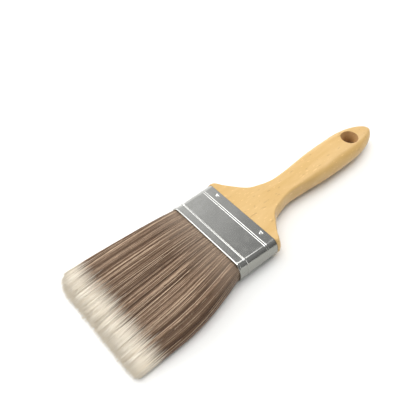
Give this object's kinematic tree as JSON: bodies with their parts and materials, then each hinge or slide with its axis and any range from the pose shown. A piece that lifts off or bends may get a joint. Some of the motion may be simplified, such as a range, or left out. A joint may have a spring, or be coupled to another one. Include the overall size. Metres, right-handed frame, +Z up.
{
  "type": "flat paintbrush",
  "caption": "Flat paintbrush with a sealed wooden beavertail handle, a plated sheet-steel ferrule and flexible streaked brown filaments with pale tips.",
  "frame": {"origin": "centre of the bounding box at the surface that the brush lies on", "axes": "+X runs along the brush towards the end of the handle, +Y across its width, +Z up out of the flat side"},
  "size_m": [0.2834, 0.0972, 0.0206],
  "materials": {
    "handle_wood": "clear-sealed pale hardwood",
    "ferrule_plate": "bright plated sheet steel",
    "resin": "cast epoxy",
    "plug_wood": "bare sawn softwood",
    "filament": "streaked brown filament with flagged cream tips"
  },
  "bodies": {
    "brush_body": {"handle": "handle_wood", "ferrule": "ferrule_plate", "setting_resin": "resin", "spacer_plug_upper": "plug_wood", "spacer_plug_lower": "plug_wood", "root_bank_top": "filament", "root_bank_middle": "filament", "root_bank_bottom": "filament"},
    "filaments": {"filament_bank_top": "filament", "filament_bank_middle": "filament", "filament_bank_bottom": "filament"}
  },
  "joints": [
    {"name": "filament_flex", "type": "hinge", "parent": "brush_body", "child": "filaments", "pos_m": [-0.0541, -0.0009, 0.0103], "axis": [0, 1, 0], "range_deg": [-35, 35], "stiffness_Nm_per_rad": 1.2}
  ]
}
